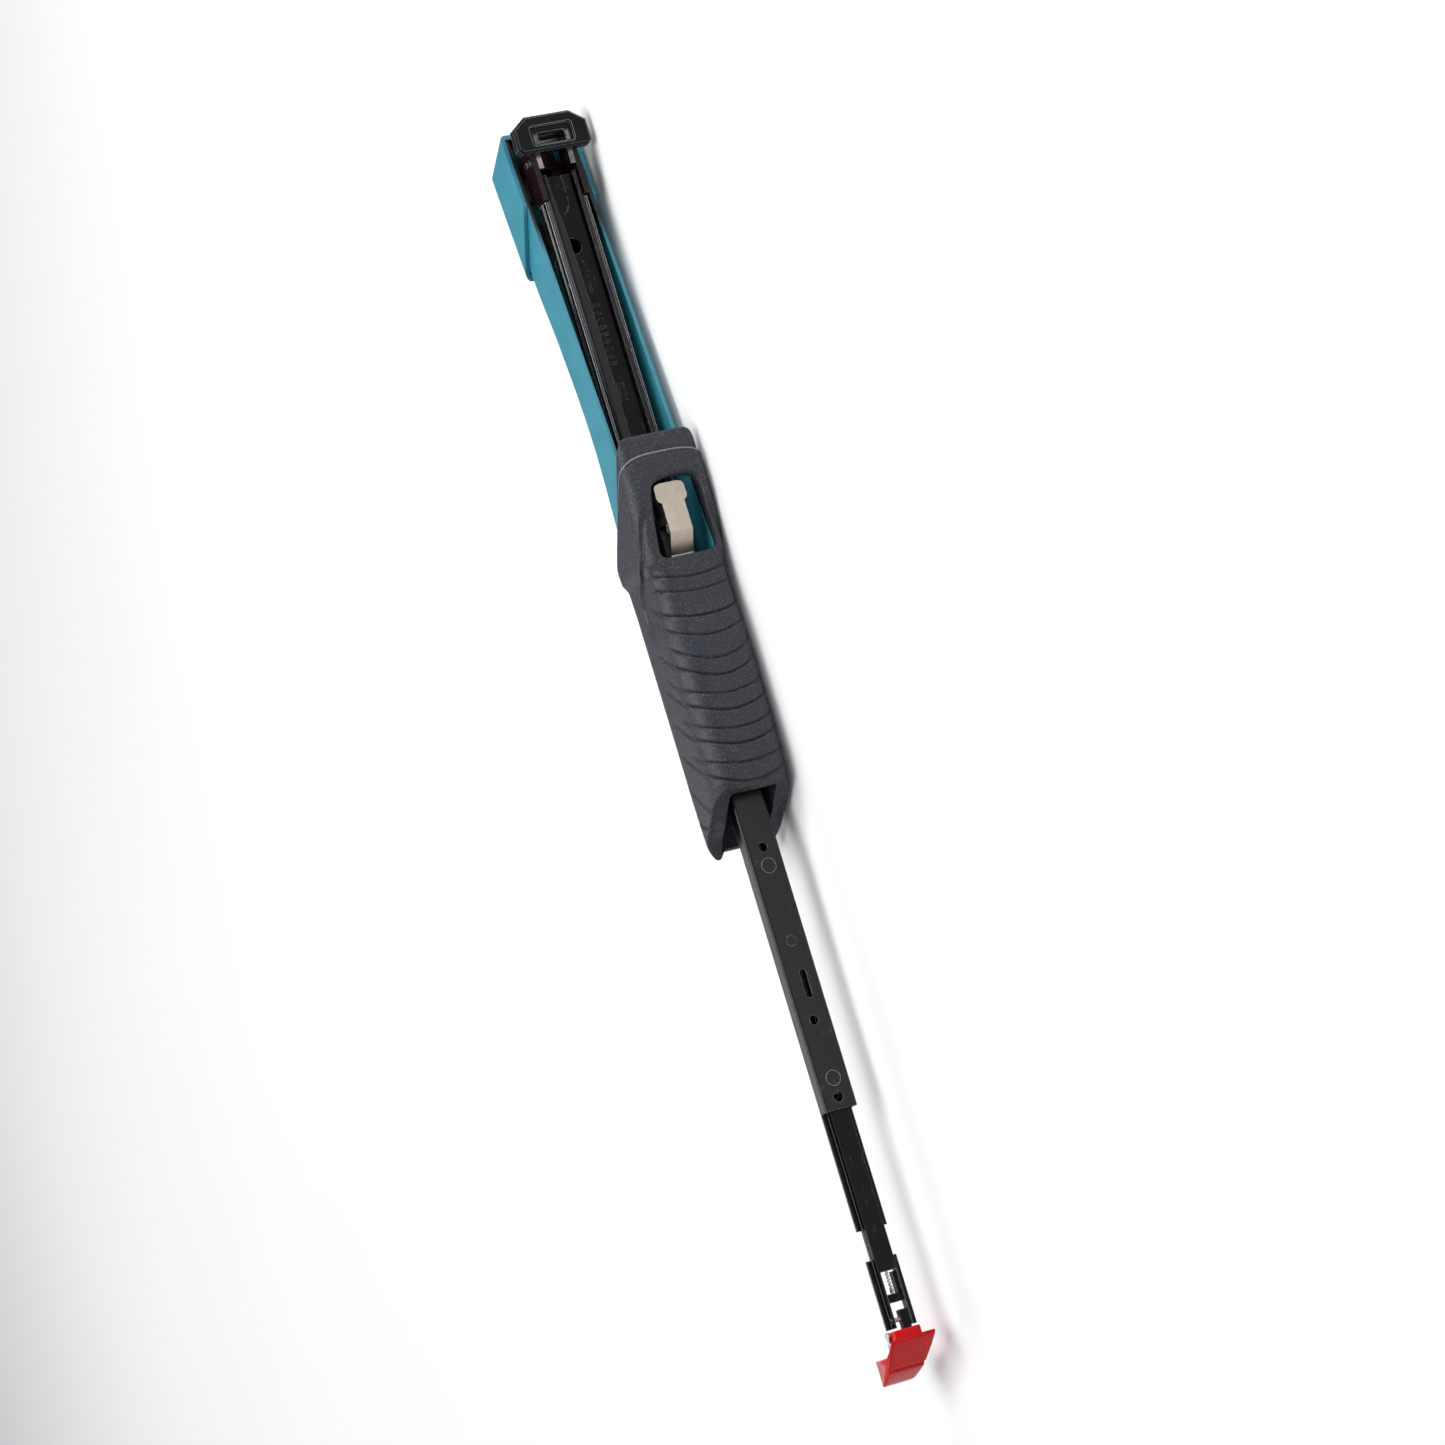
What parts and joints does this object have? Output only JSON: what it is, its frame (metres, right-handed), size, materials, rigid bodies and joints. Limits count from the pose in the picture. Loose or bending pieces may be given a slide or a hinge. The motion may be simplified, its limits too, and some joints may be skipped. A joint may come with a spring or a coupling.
{
  "type": "hammer stapler",
  "caption": "Long strike-action stapler with a sheet-metal body, swinging magazine arm, rubber grip and telescopic rear-loading magazine slides drawn out behind the grip.",
  "frame": {"origin": "centre of the bounding box seen from above, on the plane through the grip's lower side, so that the tool lies on its side on the floor", "axes": "+X from the red end cap to the staple head, +Y from the staple exit side to the striking back of the tool, +Z across the tool's width, up when it lies on its side"},
  "size_m": [0.5756, 0.0522, 0.0408],
  "materials": {
    "teal_paint": "satin powder coat over sheet steel",
    "maroon_paint": "dark red-brown baked coat, glossy",
    "black_coat": "glossy black electro-coat",
    "slide_coat": "black oiled coat, satin",
    "nose_coat": "black coat on hardened steel, worn at the rim",
    "nickel": "nickel plate, bright",
    "tab_nickel": "nickel plate, matte and slightly warm",
    "plain_steel": "ground steel, oiled",
    "spring_wire": "bright spring wire",
    "grip_rubber": "fine matte texture, slate grey",
    "bumper_rubber": "matte",
    "black_plastic": "moulded, matte",
    "red_plastic": "moulded, glossy"
  },
  "bodies": {
    "housing": {"housing_channel": "teal_paint", "head_sleeve": "teal_paint", "driver_block": "maroon_paint", "driver_blade": "plain_steel", "driver_pin": "plain_steel", "strike_bumper": "bumper_rubber", "pivot_pin": "plain_steel", "stop_pin": "plain_steel", "grip": "grip_rubber", "return_spring": "spring_wire"},
    "arm": {"magazine_channel": "black_coat", "arm_rails": "black_coat", "staple_track": "black_coat", "nose_plate": "nose_coat", "nose_guides": "nickel", "nose_cheeks": "maroon_paint", "nose_front": "black_coat", "nose_rivets": "nickel", "pivot_bracket": "black_coat", "spring_cup": "black_coat", "latch_bracket": "black_coat", "latch_pin": "nickel"},
    "latch": {"push_tab": "tab_nickel", "latch_spring": "spring_wire"},
    "outer_slide": {"outer_slide": "slide_coat", "slide_rivets": "slide_coat", "slide_guide": "nickel", "rear_shoe": "black_plastic"},
    "inner_rail": {"inner_rail": "slide_coat", "end_cap": "red_plastic", "cap_pins": "nickel", "rail_cover": "slide_coat", "spring_seat": "black_coat", "spring_rod": "spring_wire", "follower_spring": "spring_wire"},
    "follower": {"follower": "nickel"}
  },
  "joints": [
    {"name": "arm_swing", "type": "hinge", "parent": "housing", "child": "arm", "pos_m": [0.06645, 0.00597, 0.0204], "axis": [0, 0, 1], "range_deg": [0, 2.8], "stiffness_Nm_per_rad": 4, "springref_deg": -6.88, "deforming": ["return_spring"]},
    {"name": "press_tab", "type": "hinge", "parent": "arm", "child": "latch", "pos_m": [0.07345, -0.01273, 0.0204], "axis": [0, 0, 1], "range_deg": [0, 4.5], "stiffness_Nm_per_rad": 0.25, "springref_deg": -5.73, "deforming": ["latch_spring"]},
    {"name": "slide_close", "type": "slide", "parent": "arm", "child": "outer_slide", "axis": [1, 0, 0], "range_m": [0, 0.145]},
    {"name": "rail_close", "type": "slide", "parent": "outer_slide", "child": "inner_rail", "axis": [1, 0, 0], "range_m": [0, 0.081]},
    {"name": "follower_push", "type": "slide", "parent": "inner_rail", "child": "follower", "axis": [1, 0, 0], "range_m": [-0.1, 0], "stiffness_N_per_m": 20, "springref_m": 0.05, "deforming": ["follower_spring"]}
  ]
}
